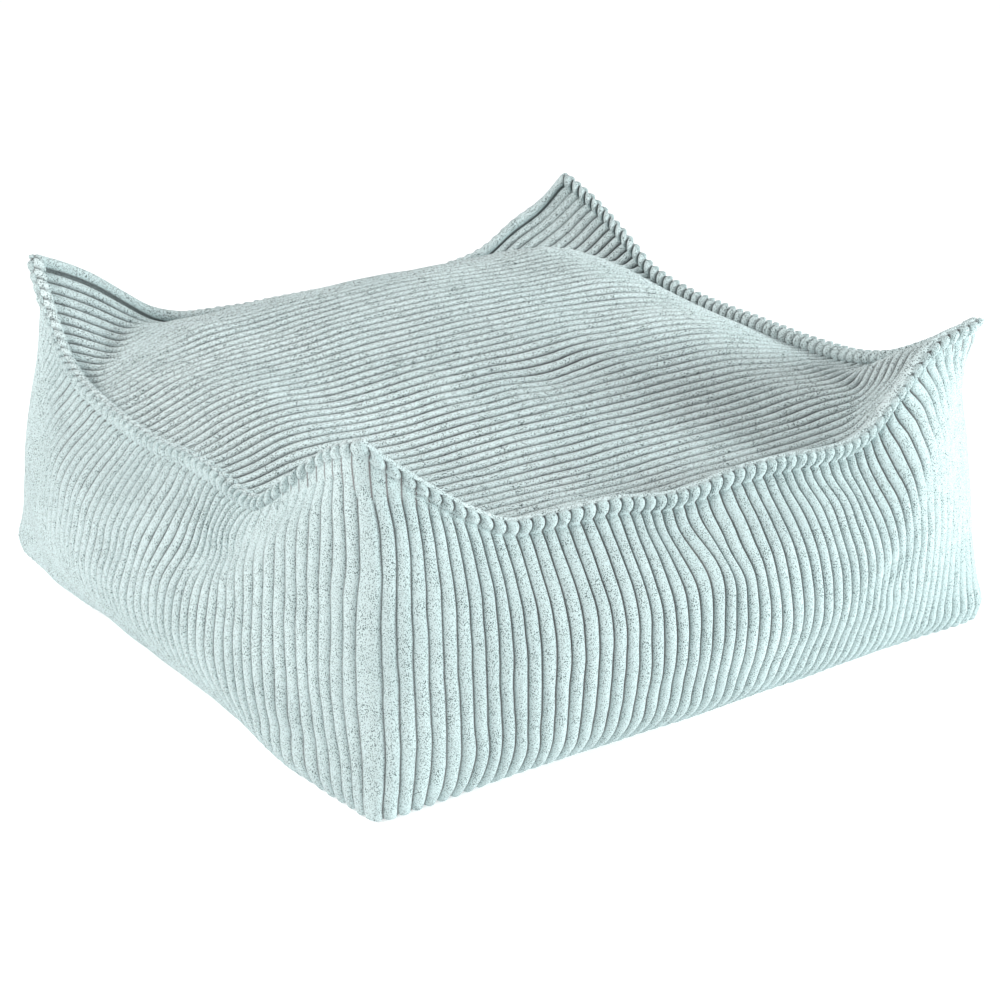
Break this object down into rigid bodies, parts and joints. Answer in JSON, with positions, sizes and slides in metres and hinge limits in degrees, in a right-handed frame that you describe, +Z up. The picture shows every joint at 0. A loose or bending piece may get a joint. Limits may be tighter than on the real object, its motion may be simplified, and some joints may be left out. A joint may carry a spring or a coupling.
{
  "type": "floor ottoman",
  "caption": "Square floor ottoman: a filled cushion in chunky corduroy with a crowned top, a standing topstitched seam round its edge and a pointed ear at each corner.",
  "frame": {"origin": "on the floor, under the middle of the ottoman", "axes": "+Z up; the top panel's ribs run along X; the front side faces -Y and the right side +X"},
  "size_m": [0.6903, 0.6904, 0.2669],
  "materials": {
    "cord_side": "pale aqua grey chunky corduroy with short cut pile",
    "cord_top": "pale aqua grey chunky corduroy with short cut pile",
    "base_cloth": "plain woven cotton in a like colour"
  },
  "bodies": {
    "root": {"filled_body": "cord_side", "top_panel": "cord_top", "base_panel": "base_cloth"}
  },
  "joints": []
}
